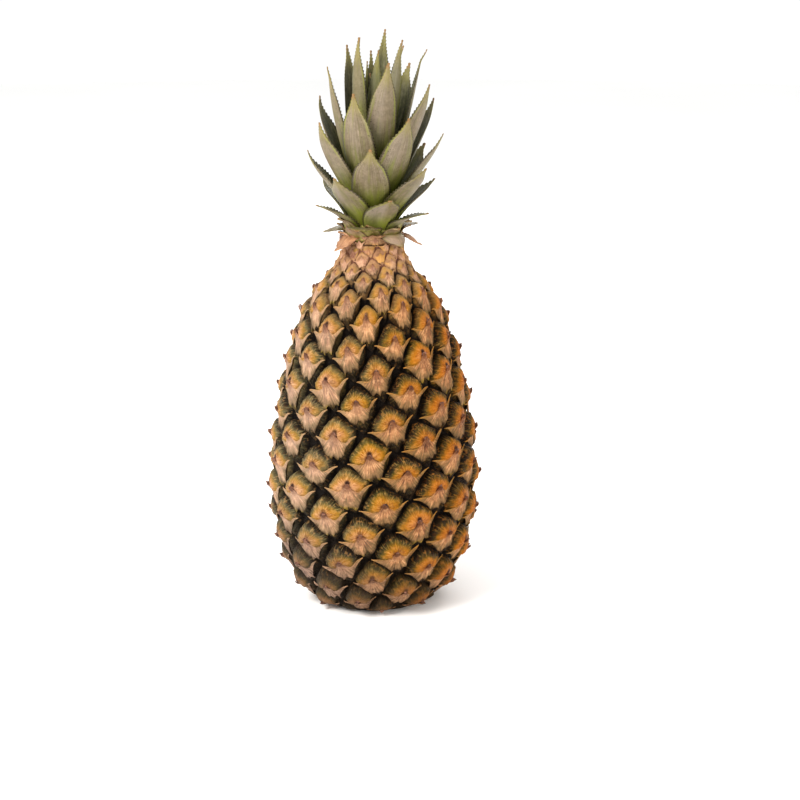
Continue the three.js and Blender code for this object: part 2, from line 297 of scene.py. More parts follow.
def paint(hexColour):  # a screen colour as the linear colour that a shader takes
    values = [int(hexColour[i:i + 2], 16) / 255 for i in (1, 3, 5)]
    return tuple(v / 12.92 if v <= 0.04045 else ((v + 0.055) / 1.055) ** 2.4 for v in values) + (1.0,)


def newMaterial(name, roughness, specular):
    material = bpy.data.materials.new(name)
    material.use_nodes = True
    shader = material.node_tree.nodes["Principled BSDF"]
    shader.inputs["Roughness"].default_value = roughness
    shader.inputs["Specular IOR Level"].default_value = specular
    return material, material.node_tree, shader


def add(tree, kind, inputs=None, **settings):  # a node, its settings, and its inputs as values or links
    node = tree.nodes.new(kind)
    for key, value in settings.items():
        setattr(node, key, value)
    for key, value in (inputs or {}).items():
        if isinstance(value, bpy.types.NodeSocket):
            tree.links.new(value, node.inputs[key])
        else:
            node.inputs[key].default_value = value
    return node


def calc(tree, operation, a, b=0.0):
    return add(tree, "ShaderNodeMath", {0: a, 1: b}, operation=operation).outputs[0]


def times(tree, a, b):
    return calc(tree, "MULTIPLY", a, b)


def plus(tree, a, b):
    return calc(tree, "ADD", a, b)


def sway(tree, value, pattern, amount):  # the value, moved up and down by a pattern
    return plus(tree, value, times(tree, calc(tree, "SUBTRACT", pattern, 0.5), amount))


def distance(tree, x, y):
    return calc(tree, "SQRT", plus(tree, times(tree, x, x), times(tree, y, y)))


def remap(tree, value, low, high, newLow=0.0, newHigh=1.0):
    return add(tree, "ShaderNodeMapRange", {"Value": value, "From Min": low, "From Max": high,
                                            "To Min": newLow, "To Max": newHigh},
               interpolation_type="SMOOTHSTEP").outputs["Result"]


def blendColour(tree, factor, first, second, mode="MIX"):
    node = add(tree, "ShaderNodeMix", data_type="RGBA", blend_type=mode)
    for socket, value in zip((node.inputs[0], node.inputs[6], node.inputs[7]), (factor, first, second)):
        if isinstance(value, bpy.types.NodeSocket):
            tree.links.new(value, socket)
        else:
            socket.default_value = value
    return node.outputs[2]


def stains(tree, colour, looks, *steps):
    # lays looks over a colour, step by step: (value, name of the look, shares that weaken it). A look is its
    # own colour, its strength, the values between which it sets in and, if it isn't a plain mix, its mode.
    for value, name, *shares in steps:
        hexColour, strength, low, high, *mode = looks[name]
        factor = times(tree, remap(tree, value, low, high), strength)
        for share in shares:
            factor = times(tree, factor, share)
        colour = blendColour(tree, factor, colour, paint(hexColour), *mode)
    return colour


def ramp(tree, factor, stops):
    node = add(tree, "ShaderNodeValToRGB", {"Fac": factor})
    elements = node.color_ramp.elements
    while len(elements) < len(stops):
        elements.new(0.5)
    for element, (position, colour) in zip(elements, stops):
        element.position = position
        element.color = paint(colour)
    return node.outputs["Color"]


def noise(tree, vector, scale, detail, roughness):
    return add(tree, "ShaderNodeTexNoise", {"Vector": vector, "Scale": scale, "Detail": detail,
                                            "Roughness": roughness}).outputs["Fac"]


def patterns(tree, vector, looks, *names):
    return [noise(tree, vector, *looks[name]) for name in names]


def parts(tree, vector):
    return add(tree, "ShaderNodeSeparateXYZ", {0: vector}).outputs


def joined(tree, x, y, z):
    return add(tree, "ShaderNodeCombineXYZ", {0: x, 1: y, 2: z}).outputs[0]


def mapped(tree, name):  # the two coordinates of one of a piece's UV maps
    return parts(tree, add(tree, "ShaderNodeUVMap", uv_map=name).outputs[0])


def attribute(tree, name):
    return add(tree, "ShaderNodeAttribute", attribute_name=name).outputs["Fac"]


def objectCoordinates(tree):
    return add(tree, "ShaderNodeTexCoord").outputs["Object"]


def finish(tree, shader, colour, relief, strength, depth):  # colour and bumps into the shader
    tree.links.new(colour, shader.inputs["Base Color"])
    bumps = add(tree, "ShaderNodeBump", {"Height": relief, "Strength": strength, "Distance": depth})
    tree.links.new(bumps.outputs["Normal"], shader.inputs["Normal"])


eyeMapSize = 40.0  # millimetres of an eye that its UV map spans


def eyeCoordinates(tree):  # an eye's own millimetres and its two draws, from the piece's UV maps
    place, draws = mapped(tree, "eye"), mapped(tree, "draw")
    x, y = (times(tree, calc(tree, "SUBTRACT", place[i], 0.5), eyeMapSize) for i in (0, 1))
    return x, y, draws[0], draws[1]


def underWings(tree, x, y):  # how far a point is below the line of the bract's wings
    return calc(tree, "SUBTRACT", y, times(tree, x, bract["tilt"]))


# Metres on the fruit: where each zone sets in, and how far blotches blur its border
zones = {
    "neck": (0.203, 0.216), "neckBlur": 0.016,
    "foot": (0.07, 0.022), "footBlur": 0.03, "footSlant": 0.35,
    "belowNeck": (0.205, 0.175),
}


def neckShare(tree, place, blotch):
    return remap(tree, plus(tree, place[2], times(tree, blotch, zones["neckBlur"])), *zones["neck"])


def footShare(tree, place, blotch):  # the browner foot, with painted shade near the floor, reaches higher on the left
    height = plus(tree, place[2], times(tree, blotch, zones["footBlur"]))
    return remap(tree, plus(tree, height, times(tree, place[0], zones["footSlant"])), *zones["foot"])


rind = {
    "roughness": (0.4, 0.66), "bumps": (0.85, 0.0011),
    "spokes": 7.5, "spokeRun": 0.2, "spokeShift": 37.0,  # fibres that run out from the spine
    # patterns: scale, detail, roughness
    "radial": (1.6, 5.0, 0.62), "blotch": (130.0, 4.0, 0.6), "grain": (420.0, 3.0, 0.6),
    "fine": (900.0, 4.0, 0.65),
    "ragged": 0.42, "patchy": 0.5, "varied": 0.3,  # how far patterns and draws move the bands
    # bands from the crease to the middle of a dome, on the riper right and on the left; the darkest stops
    # next to the crease are painted shade, the olive, orange and cream after them the rind's own colour
    "warm": [(0.0, "#140e08"), (0.13, "#26220f"), (0.26, "#42401b"), (0.38, "#6b5c1a"),
             (0.51, "#9a7614"), (0.66, "#b4821a"), (0.84, "#b8863c"), (1.0, "#c69668")],
    "grey": [(0.0, "#18120c"), (0.13, "#352e20"), (0.26, "#565038"), (0.39, "#746744"),
             (0.52, "#93753a"), (0.67, "#ac8042"), (0.84, "#c09068"), (1.0, "#d3a484")],
    "ripeFrom": -0.055, "ripeTo": 0.045, "ripeSpread": 0.7, "ripeFull": 0.9,
    # colour, strength, and the values between which it sets in
    "pale": ("#9a8d66", 0.55, 0.5, 0.66),
    "cream": ("#dcb084", 1.0, 0.5, 0.62), "creamReach": (8.5, 3.5), "creamShare": (0.8, 0.5),
    "rust": ("#94461f", 0.75, 0.46, 0.38), "rustReach": (7.0, 2.5),
    "nub": ("#7a4a38", 0.8, 3.6, 1.9), "nubBlur": 1.5,
    "freckle": ("#5c3a1c", 0.4, 0.54, 0.66), "gleam": ("#d2a26a", 0.3, 0.46, 0.36),
    "hole": ("#3a1f15", 1.0, 2.7, 1.3), "holeUp": 1.7, "holeBlur": 1.2, "holeDraw": (0.2, 0.8),
    "speck": ("#4a3018", 0.5, 0.6, 0.76),
    "shade": ("#1c150c", 0.65, -3.0, -6.5),  # under the wings
    "hair": ("#94835f", 0.5, 0.66, 0.72), "hairDepth": (0.2, 0.5),
    "high": ("#c49c6e", 0.3, 0.18, 0.205), "highBlur": 0.03, "highDepth": (0.5, 0.1),
    "ripe": ("#f7e6c0", 1.0, -0.05, 0.015, "MULTIPLY"), "ripest": ("#ffe6c2", 1.0, 0.0, 0.045, "MULTIPLY"),
    # painted shade in the creases between the eyes: near-black on the body, brown at the neck, where it also
    # gives the neck bracts' own brown outlines
    "hollow": "#160f09", "neckHollowBrownAndShade": "#8d6450", "hollowDepth": (0.3, 0.75), "hollowBlur": 0.4,
    "neck": [(0.34, "#8a5c46"), (0.44, "#b48468"), (0.54, "#c69a76"), (0.66, "#c89a4c")],
    # the foot's own browner colour, darkened with painted shade near the floor: crease tone and dome tone
    "footBrownAndShade": ("#33291f", "#80644c"), "footBrownAndShadeShare": 0.8,
}


def skinMaterial():
    material, tree, shader = newMaterial("waxyRind", 0.5, 0.22)
    where = objectCoordinates(tree)
    place = parts(tree, where)
    x, y, drawA, drawB = eyeCoordinates(tree)
    domeX, domeY = plus(tree, x, -dome["centre"][0]), plus(tree, y, -dome["centre"][1])
    away = distance(tree, domeX, domeY)
    around = times(tree, calc(tree, "ARCTAN2", domeY, domeX), rind["spokes"])
    spokes = joined(tree, around, times(tree, away, rind["spokeRun"]), times(tree, drawA, rind["spokeShift"]))
    radial = noise(tree, spokes, *rind["radial"])
    blotch, grain, fine = patterns(tree, where, rind, "blotch", "grain", "fine")
    rim = attribute(tree, "rim")
    inward = sway(tree, rim, radial, rind["ragged"])
    inward = sway(tree, inward, blotch, rind["patchy"])
    inward = sway(tree, inward, drawB, rind["varied"])
    ripe = sway(tree, remap(tree, place[0], rind["ripeFrom"], rind["ripeTo"]), drawA, rind["ripeSpread"])
    # the bands' near-black ends paint shade along the creases
    colour = blendColour(tree, remap(tree, ripe, 0.0, rind["ripeFull"]),
                         ramp(tree, inward, rind["grey"]), ramp(tree, inward, rind["warm"]))
    band = times(tree, remap(tree, rim, 0.05, 0.16), remap(tree, rim, 0.5, 0.28))  # just inside the crease
    creamReach, rustReach = remap(tree, away, *rind["creamReach"]), remap(tree, away, *rind["rustReach"])
    creamShare = remap(tree, ripe, 0.0, rind["ripeFull"], *rind["creamShare"])
    fromNub = plus(tree, away, times(tree, blotch, rind["nubBlur"]))
    fromHole = distance(tree, x, calc(tree, "SUBTRACT", y, rind["holeUp"]))
    fromHole = plus(tree, fromHole, times(tree, blotch, rind["holeBlur"]))
    colour = stains(tree, colour, rind, (radial, "pale", band), (radial, "cream", creamReach, creamShare),
                    (radial, "rust", rustReach), (fromNub, "nub"), (grain, "freckle"), (grain, "gleam"),
                    (fromHole, "hole", remap(tree, drawB, *rind["holeDraw"])), (fine, "speck"),
                    (underWings(tree, x, y), "shade"))
    depth = sway(tree, attribute(tree, "crease"), blotch, rind["hollowBlur"])
    neck = neckShare(tree, place, blotch)
    colour = blendColour(tree, neck, colour, ramp(tree, blotch, rind["neck"]))
    # painted shade: the deepest parts of the creases turn near-black, brown at the neck
    hollow = blendColour(tree, neck, paint(rind["hollow"]), paint(rind["neckHollowBrownAndShade"]))
    colour = blendColour(tree, remap(tree, depth, *rind["hollowDepth"]), colour, hollow)
    colour = stains(tree, colour, rind, (fine, "hair", remap(tree, depth, *rind["hairDepth"])))
    # the foot: a browner colour with painted shade near the floor
    footBrownAndShade = blendColour(tree, remap(tree, inward, 0.3, 0.9), *(paint(shade) for shade in rind["footBrownAndShade"]))
    colour = blendColour(tree, times(tree, footShare(tree, place, blotch), rind["footBrownAndShadeShare"]), colour, footBrownAndShade)
    height = plus(tree, place[2], times(tree, blotch, rind["highBlur"]))
    belowNeck = remap(tree, place[2], *zones["belowNeck"])
    colour = stains(tree, colour, rind, (height, "high", remap(tree, depth, *rind["highDepth"])),
                    (place[0], "ripe", belowNeck), (place[0], "ripest", belowNeck))
    relief = plus(tree, times(tree, radial, 2.2), times(tree, fine, 0.45))
    relief = plus(tree, relief, times(tree, blotch, 0.8))
    finish(tree, shader, colour, relief, *rind["bumps"])
    tree.links.new(remap(tree, blotch, 0.3, 0.7, *rind["roughness"]), shader.inputs["Roughness"])
    return material


husk = {
    "roughness": (0.55, 0.82), "bumps": (0.85, 0.0009),
    "fan": 9.0, "fanRun": 0.08, "fanShift": 51.0, "fanTop": 2.5,  # fibres that fan out from above the beak
    # patterns: scale, detail, roughness
    "streak": (1.7, 6.0, 0.62), "blotch": (190.0, 4.0, 0.6), "grain": (420.0, 3.0, 0.6),
    "fine": (1100.0, 3.0, 0.6), "patch": (60.0, 2.0, 0.55),
    "tones": [(0.37, "#4c342a"), (0.43, "#7a5644"), (0.49, "#a0785d"), (0.56, "#b78d6e"), (0.64, "#d0aa89")],
    "varied": 0.07,
    # colour, strength, and the values between which it sets in
    "freckle": ("#6b4633", 0.45, 0.54, 0.64), "gleam": ("#dcb696", 0.4, 0.46, 0.36),
    "wing": ("#735c32", 0.8, 5.0, 11.0), "wingStreak": (0.38, 0.56, 0.45, 1.0),
    "tanLipAndHighlight": ("#b88a44", 0.5, 1.1, 0.3), "lipSide": (3.0, 6.0),
    # painted highlight along the upper edges of the wings, over their own yellow-tan edge colour
    "edging": ("#7a6e4a", 0.5, 1.8, 5.0), "edgingStreak": (0.54, 0.44),
    "dull": ("#bba08c", 0.4, 0.03, -0.05),  # towards the fruit's left
    "mauve": ("#774a3c", 0.55, 5.0, 1.0), "mauveBlotch": (0.42, 0.56, 0.2, 1.0),
    "tip": ("#4a2a22", 0.7, 2.4, 0.8), "tipDraw": (0.3, 0.7, 0.4, 1.0),
    "hem": ("#6d5f46", 0.75, 4.6, 0.8), "hemEdge": ("#33271a", 0.85, 1.4, -0.4),
    "hemStreak": 4.5, "hemBlotch": 3.0, "hemBelow": (-4.0, -7.5),
    "point": ("#9d8a3e", 0.8, -12.0, -15.0), "pointStreak": (0.4, 0.55),
    "speck": ("#523629", 1.0, 0.64, 0.74),
    "gold": ("#c8963f", 0.6, 0.48, 0.62), "ripe": ("#fbecd2", 1.0, -0.05, 0.015, "MULTIPLY"),
    "neck": [(0.36, "#7c5040"), (0.46, "#b38369"), (0.58, "#d4ab8c")], "neckShare": 0.85,
    # the foot's own browner colour, darkened with painted shade near the floor
    "footBrownAndShade": ("#54423a", "#a58a7c"), "footBrownAndShadeShare": 0.75,
}


def bractMaterial():
    material, tree, shader = newMaterial("dryBract", 0.7, 0.18)
    where = objectCoordinates(tree)
    place = parts(tree, where)
    x, y, drawA, drawB = eyeCoordinates(tree)
    fan = times(tree, calc(tree, "ARCTAN2", calc(tree, "SUBTRACT", husk["fanTop"], y), x), husk["fan"])
    fibres = joined(tree, fan, times(tree, y, husk["fanRun"]), times(tree, drawB, husk["fanShift"]))
    streak = noise(tree, fibres, *husk["streak"])
    blotch, grain, fine, patch = patterns(tree, where, husk, "blotch", "grain", "fine", "patch")
    tone = plus(tree, times(tree, streak, 0.65), times(tree, blotch, 0.35))
    tone = sway(tree, tone, drawA, husk["varied"])
    colour = ramp(tree, tone, husk["tones"])
    side, fromSpine = calc(tree, "ABSOLUTE", x), distance(tree, x, y)
    fromHem = sway(tree, attribute(tree, "fromHem"), streak, husk["hemStreak"])
    fromHem = sway(tree, fromHem, blotch, husk["hemBlotch"])
    below = remap(tree, underWings(tree, x, y), *husk["hemBelow"])
    colour = stains(tree, colour, husk, (grain, "freckle"), (grain, "gleam"),
                    (side, "wing", remap(tree, streak, *husk["wingStreak"])),
                    # the wings' upper edges: their yellow-tan colour with a painted highlight
                    (attribute(tree, "fromTop"), "tanLipAndHighlight", remap(tree, side, *husk["lipSide"])),
                    (side, "edging", remap(tree, streak, *husk["edgingStreak"])), (place[0], "dull"),
                    (fromSpine, "mauve", remap(tree, blotch, *husk["mauveBlotch"])),
                    (fromSpine, "tip", remap(tree, drawA, *husk["tipDraw"])),
                    (fromHem, "hem", below), (fromHem, "hemEdge", below),
                    (y, "point", remap(tree, streak, *husk["pointStreak"])), (fine, "speck"))
    neck = neckShare(tree, place, blotch)
    colour = blendColour(tree, times(tree, neck, husk["neckShare"]), colour, ramp(tree, tone, husk["neck"]))
    colour = stains(tree, colour, husk, (patch, "gold", neck))
    # the foot: a browner colour with painted shade near the floor
    footBrownAndShade = blendColour(tree, remap(tree, tone, 0.4, 0.6), *(paint(shade) for shade in husk["footBrownAndShade"]))
    colour = blendColour(tree, times(tree, footShare(tree, place, blotch), husk["footBrownAndShadeShare"]), colour, footBrownAndShade)
    colour = stains(tree, colour, husk, (place[0], "ripe", remap(tree, place[2], *zones["belowNeck"])))
    relief = plus(tree, times(tree, streak, 1.3), times(tree, fine, 0.35))
    finish(tree, shader, colour, relief, *husk["bumps"])
    tree.links.new(remap(tree, streak, 0.3, 0.7, *husk["roughness"]), shader.inputs["Roughness"])
    return material


def spineMaterial():
    material, tree, shader = newMaterial("drySpine", 0.65, 0.3)
    grain = noise(tree, objectCoordinates(tree), 420.0, 5.0, 0.65)
    colour = ramp(tree, grain, [(0.36, "#33201a"), (0.48, "#5e4034"), (0.62, "#86614e")])
    finish(tree, shader, colour, grain, 0.6, 0.0006)
    return material


leafLook = {
    "roughness": (0.38, 0.55), "bumps": (0.35, 0.0006),
    "lines": (34.0, 1.6, 43.0), "wide": (2.6, 1.7, 17.0),  # changes across, along and from leaf to leaf
    # patterns: scale, detail, roughness
    "stripes": (1.0, 3.0, 0.5), "patches": (1.5, 3.0, 0.55),
    "specks": (1300.0, 2.0, 0.5), "dust": (330.0, 5.0, 0.7),
    # colour, strength, and the values between which it sets in
    "dim": ("#a0948a", 0.55, 0.25, -0.2), "dimDraw": (0.3, 0.8),  # half of some leaves
    # painted shade on the outer faces of the heart leaves: dark olive close to the axis, high in the crown
    "heartShade": ("#5d6138", 0.75, 0.02, 0.013), "heartShadeHeight": (0.235, 0.25), "heartShadeX": 0.002,
    "root": ("#b0a05c", 0.75, 0.16, -0.02), "rootBlur": 0.6,
    "strip": ("#7b7e35", 1.0, 0.72, 0.86), "stripPatch": (0.46, 0.6, 0.05, 0.7),
    "stripRagged": 0.16, "stripPatchy": 0.22,
    "speck": ("#3d3b26", 1.0, 0.6, 0.7), "speckSide": (0.0, 0.9, 0.15, 0.85),
    "margin": ("#2e2714", 0.8, 0.9, 0.95),
    "fading": ("#8a8040", 0.45, 0.78, 0.93), "tip": ("#86603c", 0.75, 0.945, 0.99), "tipBlur": 0.12,
    "dried": [(0.36, "#66432f"), (0.5, "#9c7252"), (0.64, "#c69c76")], "driedPatch": (0.2, 0.5, 0.75, 1.0),
}
leafFaces = {
    "leafOutside": {
        "tones": [(0.3, "#524835"), (0.44, "#6d614c"), (0.56, "#82745f"), (0.7, "#9d8e7b")],
        "green": ("#6e6d38", 0.5, 0.5, 0.68), "bright": ("#7f8a1c", 0.7, 0.6, 0.2),
    },
    "leafInside": {
        "tones": [(0.36, "#3f3f2b"), (0.5, "#605e43"), (0.64, "#878265")],
        "green": ("#4e5a24", 0.5, 0.5, 0.68), "bright": ("#66741f", 0.7, 0.6, 0.2),
    },
}


def leafMaterial(name):
    material, tree, shader = newMaterial(name, 0.5, 0.38)
    face = leafFaces[name]
    where = objectCoordinates(tree)
    place, traits = mapped(tree, "blade"), mapped(tree, "traits")
    across = times(tree, calc(tree, "SUBTRACT", place[0], 0.5), 2.0)
    along, drawn, dryness = place[1], traits[0], traits[1]
    lines, wide = (joined(tree, *(times(tree, value, often) for value, often in
                                  zip((across, along, drawn), leafLook[key]))) for key in ("lines", "wide"))
    stripes, patches = noise(tree, lines, *leafLook["stripes"]), noise(tree, wide, *leafLook["patches"])
    specks, dust = patterns(tree, where, leafLook, "specks", "dust")
    side = calc(tree, "ABSOLUTE", across)
    shade = plus(tree, times(tree, stripes, 0.6), times(tree, dust, 0.4))
    colour = ramp(tree, shade, face["tones"])
    if name == "leafOutside":
        spot = parts(tree, where)
        # painted shade darkens the outer faces at the crown's heart
        fromAxis = distance(tree, calc(tree, "SUBTRACT", spot[0], leafLook["heartShadeX"]), spot[1])
        colour = stains(tree, colour, leafLook, (across, "dim", remap(tree, drawn, *leafLook["dimDraw"])),
                        (fromAxis, "heartShade", remap(tree, spot[2], *leafLook["heartShadeHeight"])))
    grown, towardsTip = (sway(tree, along, patches, leafLook[key]) for key in ("rootBlur", "tipBlur"))
    margin = sway(tree, side, stripes, leafLook["stripRagged"])
    margin = sway(tree, margin, patches, leafLook["stripPatchy"])
    colour = stains(tree, colour, {**leafLook, **face},
                    (patches, "green"), (grown, "bright"), (grown, "root"),
                    (margin, "strip", remap(tree, patches, *leafLook["stripPatch"])),
                    (specks, "speck", remap(tree, side, *leafLook["speckSide"])), (side, "margin"),
                    (towardsTip, "fading"), (towardsTip, "tip"))
    colour = blendColour(tree, times(tree, dryness, remap(tree, patches, *leafLook["driedPatch"])), colour,
                         ramp(tree, shade, leafLook["dried"]))
    finish(tree, shader, colour, plus(tree, stripes, times(tree, dust, 0.35)), *leafLook["bumps"])
    tree.links.new(remap(tree, stripes, 0.3, 0.7, *leafLook["roughness"]), shader.inputs["Roughness"])
    return material


def fibreMaterial(name, tones):
    material, tree, shader = newMaterial(name, 0.8, 0.25)
    where = objectCoordinates(tree)
    stretched = add(tree, "ShaderNodeMapping", {"Vector": where, "Scale": (1.0, 1.0, 0.12)}).outputs[0]
    fibres, blotch = noise(tree, stretched, 700.0, 5.0, 0.65), noise(tree, where, 120.0, 3.0, 0.5)
    tone = plus(tree, times(tree, fibres, 0.6), times(tree, blotch, 0.4))
    finish(tree, shader, ramp(tree, tone, tones), fibres, 0.6, 0.0006)
    return material


# The fruit's skin

skin = {"stepsPerEye": 22, "crowding": 0.4, "rimRange": 8, "creaseFrom": (1.2, 3.9)}


def buildSkin():
    steps = skin["stepsPerEye"]
    columns = fruit["leftRows"] * steps
    firstCell = math.floor(firstPlace / fruit["leftRows"]) - fruit["rightRows"]
    rows = (math.ceil(lastPlace / fruit["leftRows"]) - firstCell) * steps
    bm = bmesh.new()
    bmesh.ops.create_grid(bm, x_segments=columns, y_segments=rows, size=1)
    mesh = bpy.data.meshes.new("fruitSkin")
    bm.to_mesh(mesh)
    bm.free()
    flat = np.zeros(len(mesh.vertices) * 3)
    mesh.vertices.foreach_get("co", flat)
    flat = flat.reshape(-1, 3)
    column, row = np.rint((flat[:, :2] + 1) / 2 * (columns, rows)).astype(int).T

    def shares(part):  # closer together at the creases
        t = part / steps
        return t - skin["crowding"] * np.sin(2 * np.pi * t) / (2 * np.pi)

    def drawsOf(leftCell, rightCell):
        return eyeDraws(fruit["leftRows"] * leftCell + fruit["rightRows"] * rightCell)

    # the last column is the first one again, further up the other spirals
    wrapped = column == columns
    rightCell = np.where(wrapped, 0, column // steps)
    leftCell = firstCell + row // steps + np.where(wrapped, fruit["rightRows"], 0)
    leftShare, rightShare = shares(row % steps), shares(np.where(wrapped, 0, column % steps))
    draws = drawsOf(leftCell, rightCell)
    rise, fromRim = skinRise(leftShare, rightShare, draws)
    points = skinPoint(leftCell + leftShare, rightCell + rightShare, rise)
    place = fruit["leftRows"] * (leftCell + leftShare) + fruit["rightRows"] * (rightCell + rightShare)
    points[place <= firstPlace] = (0, 0, fruit["outline"][0][1])
    points[place >= lastPlace] = (0, 0, fruit["outline"][-1][1])

    loops = np.zeros(len(mesh.loops), int)
    mesh.loops.foreach_get("vertex_index", loops)
    corners = loops.reshape(-1, 4)
    faceColumn = column[corners].min(axis=1)[:, None]
    faceRow = row[corners].min(axis=1)[:, None]
    cellColumn, cellRow = faceColumn // steps, faceRow // steps
    faceDraws = drawsOf(firstCell + cellRow, cellColumn).swapaxes(1, 2)
    upLeft, upRight = shares(row[corners] - cellRow * steps), shares(column[corners] - cellColumn * steps)
    x, y = ownPlace(*eyeMillimetres(upLeft, upRight), faceDraws)
    for name, values in (("eye", np.stack([x, y], axis=-1) / eyeMapSize + 0.5),
                         ("draw", np.repeat(faceDraws[:2, :, 0].T, 4, axis=0))):
        mesh.uv_layers.new(name=name).data.foreach_set("uv", values.ravel())
    for name, values in (("crease", smoothStep(-rise, *skin["creaseFrom"])),
                         ("rim", np.clip(fromRim / skin["rimRange"], 0, 1))):
        mesh.attributes.new(name, "FLOAT", "POINT").data.foreach_set("value", values.astype(np.float32))
    mesh.vertices.foreach_set("co", (points * mm).ravel())

    bm = bmesh.new()
    bm.from_mesh(mesh)
    bmesh.ops.remove_doubles(bm, verts=bm.verts, dist=2e-6)
    for height, side in ((0.0, -1), (fruit["neckHeight"] * mm, 1)):
        cut = bmesh.ops.bisect_plane(bm, geom=bm.verts[:] + bm.edges[:] + bm.faces[:], dist=1e-7,
                                     plane_co=(0, 0, height), plane_no=(0, 0, side), clear_outer=True)
        cutEdges = [e for e in cut["geom_cut"] if isinstance(e, bmesh.types.BMEdge)]
        bmesh.ops.contextual_create(bm, geom=cutEdges)
    bmesh.ops.recalc_face_normals(bm, faces=bm.faces)
    return newPiece("fruitSkin", bm, skinMaterial(), mesh=mesh)


# The dry bracts and spines of the eyes

def buildBracts(eyes, material):
    bm = bmesh.new()
    eyeMap = bm.loops.layers.uv.new("eye")
    drawMap = bm.loops.layers.uv.new("draw")
    hemLayer = bm.verts.layers.float.new("fromHem")
    topLayer = bm.verts.layers.float.new("fromTop")
    for place, left, right in eyes:
        draws = eyeDraws(place)
        verts, across, up = newSheet(bm, bract["columns"], bract["rows"])
        across = np.sign(across) * np.abs(across) ** bract["crowding"]  # closer together in the middle
        x = np.where(across < 0, -bract["wingTips"][0], bract["wingTips"][1]) * across
        top, hem = bractEdges(x, draws)
        y = hem + (top - hem) * up
        steep = (bractEdges(x + 0.1, draws)[1] - bractEdges(x - 0.1, draws)[1]) / 0.2  # of the lower edge
        fromHem = (y - hem) / np.hypot(1, steep)
        wider, leaning = bractSpread(y)
        loose = varied(bract["loose"], draws[6] * np.abs(np.sin(x * 0.3 + 6 * draws[5])))
        lift = up ** 3 + (1 - up) ** 3 * loose
        pleat = bract["pleat"] * np.sin(x * 1.5 + draws[7] * 6)
        lift = lift + pleat * (1 - up) * (1 - np.abs(across))
        rise = bractRise(x, y) + lift * (1 - 0.5 * np.abs(across))
        reach = varied(bract["reachVaries"], draws[5])
        leftShare, rightShare = eyeShares(*cellPlace((x * wider + leaning) * reach, y, draws))
        points = skinPoint(left + leftShare, right + rightShare, rise)
        points[:, 2] = np.maximum(points[:, 2], bract["lowest"])
        for vert, fromBelow, fromAbove in zip(verts, fromHem, top - y):
            vert[hemLayer] = fromBelow
            vert[topLayer] = fromAbove
        onEye = np.stack([x, y], axis=-1) / eyeMapSize + 0.5
        placeSheet(verts, points, {eyeMap: onEye, drawMap: (draws[0], draws[1])})
    bmesh.ops.remove_doubles(bm, verts=bm.verts, dist=1e-6)
    piece = newPiece("eyeBracts", bm, material)
    thicken(piece, bract["thickness"])
    return piece


spine = {
    "root": 3.0, "length": 3.5, "lengthVaries": (0.6, 0.7), "radius": 1.35, "radiusVaries": (0.8, 0.4),
    "flatness": 1.3, "taper": 0.85, "up": 0.2, "lean": 1.8, "leanVaries": (0.5, 0.7), "sideways": 1.6,
    "lowest": 0.1, "sides": 7, "rows": 6,
}


def buildSpines(eyes, material):  # a grid rolled up into a bent spindle on each eye
    bm = bmesh.new()
    rng = np.random.default_rng(23)
    for place, left, right in eyes:
        draws = rng.random(4)
        length = spine["length"] * varied(spine["lengthVaries"], draws[0])
        verts, around, share = newSheet(bm, spine["sides"], spine["rows"])
        around = np.pi * around
        up = np.maximum(0, share - 1 / spine["rows"]) / (1 - 1 / spine["rows"])
        wide = spine["radius"] * varied(spine["radiusVaries"], draws[1]) * (1 - up) ** spine["taper"]
        wide = wide * (share > 0.01)  # closed at its root
        lean = spine["lean"] * varied(spine["leanVaries"], draws[3]) * up ** 1.6
        x = np.cos(around) * wide * spine["flatness"] + (draws[2] - 0.5) * spine["sideways"] * up
        y = np.sin(around) * wide + spine["up"] + lean
        rise = spine["root"] + length * up * (1 - 0.25 * up)
        leftShare, rightShare = eyeShares(*cellPlace(x, y, eyeDraws(place)))
        points = skinPoint(left + leftShare, right + rightShare, rise)
        points[:, 2] = np.maximum(points[:, 2], spine["lowest"])
        placeSheet(verts, points)
    bmesh.ops.remove_doubles(bm, verts=bm.verts, dist=2e-6)
    bmesh.ops.recalc_face_normals(bm, faces=bm.faces)
    return newPiece("eyeSpines", bm, material)


# The crown's leaves

crown = {
    "base": 214.35, "stemHeight": 50, "stemRadius": 15, "stemTipRadius": 3.2, "bend": 0.0005,
    "leaves": 48, "dry": 4, "outer": 37, "golden": 137.5, "firstAngle": 226.5,
    "lowestRoot": 1.6, "highestRoot": 46.5, "crowding": 1.5,
    "lowestTip": -3, "levelLeaf": 4, "tipStep": 3.55, "heartDrop": 26, "heartRadius": 4,
    "sheath": 3, "widest": 0.4, "rootShare": 0.74, "cup": 0.12,
    "outline": [(-6, 25), (0, 29), (12, 32), (28, 34), (50, 38), (68, 38), (88, 33), (104, 26), (118, 18),
                (128, 12)],
    "rootLean": [(0, 50), (4, 22), (13, 24), (23, 26), (38, 18), (47, 8)],
    "tipLean": [(0, 140), (4, 105), (8, 80), (12, 45), (16, 20), (23, 14), (33, 8), (47, 2)],
    "width": [(0, 11), (3, 14), (5, 20), (9, 22), (20, 23), (32, 20), (37, 11.5), (47, 5)],
}
blade = {
    "columns": 14, "crowding": 0.85, "toothPitch": 1.9, "tooth": 0.95, "toothUp": 0.6, "toothFrom": 0.06,
    "thickness": 1.1, "margin": 0.35,           # in millimetres, and the share of it left at the edges
    "wave": 0.7, "fold": 0.35, "hook": 1.6,     # of the margins, along the middle, and of the tip
    "taper": 2.4, "tipNarrowing": 0.5, "tipFrom": (0.74, 0.97), "tipWidth": 0.012, "hookFrom": (0.9, 1),
    "dryness": 0.25, "drynessStep": 0.05,       # of the lowest green leaf, and how fast it fades
}


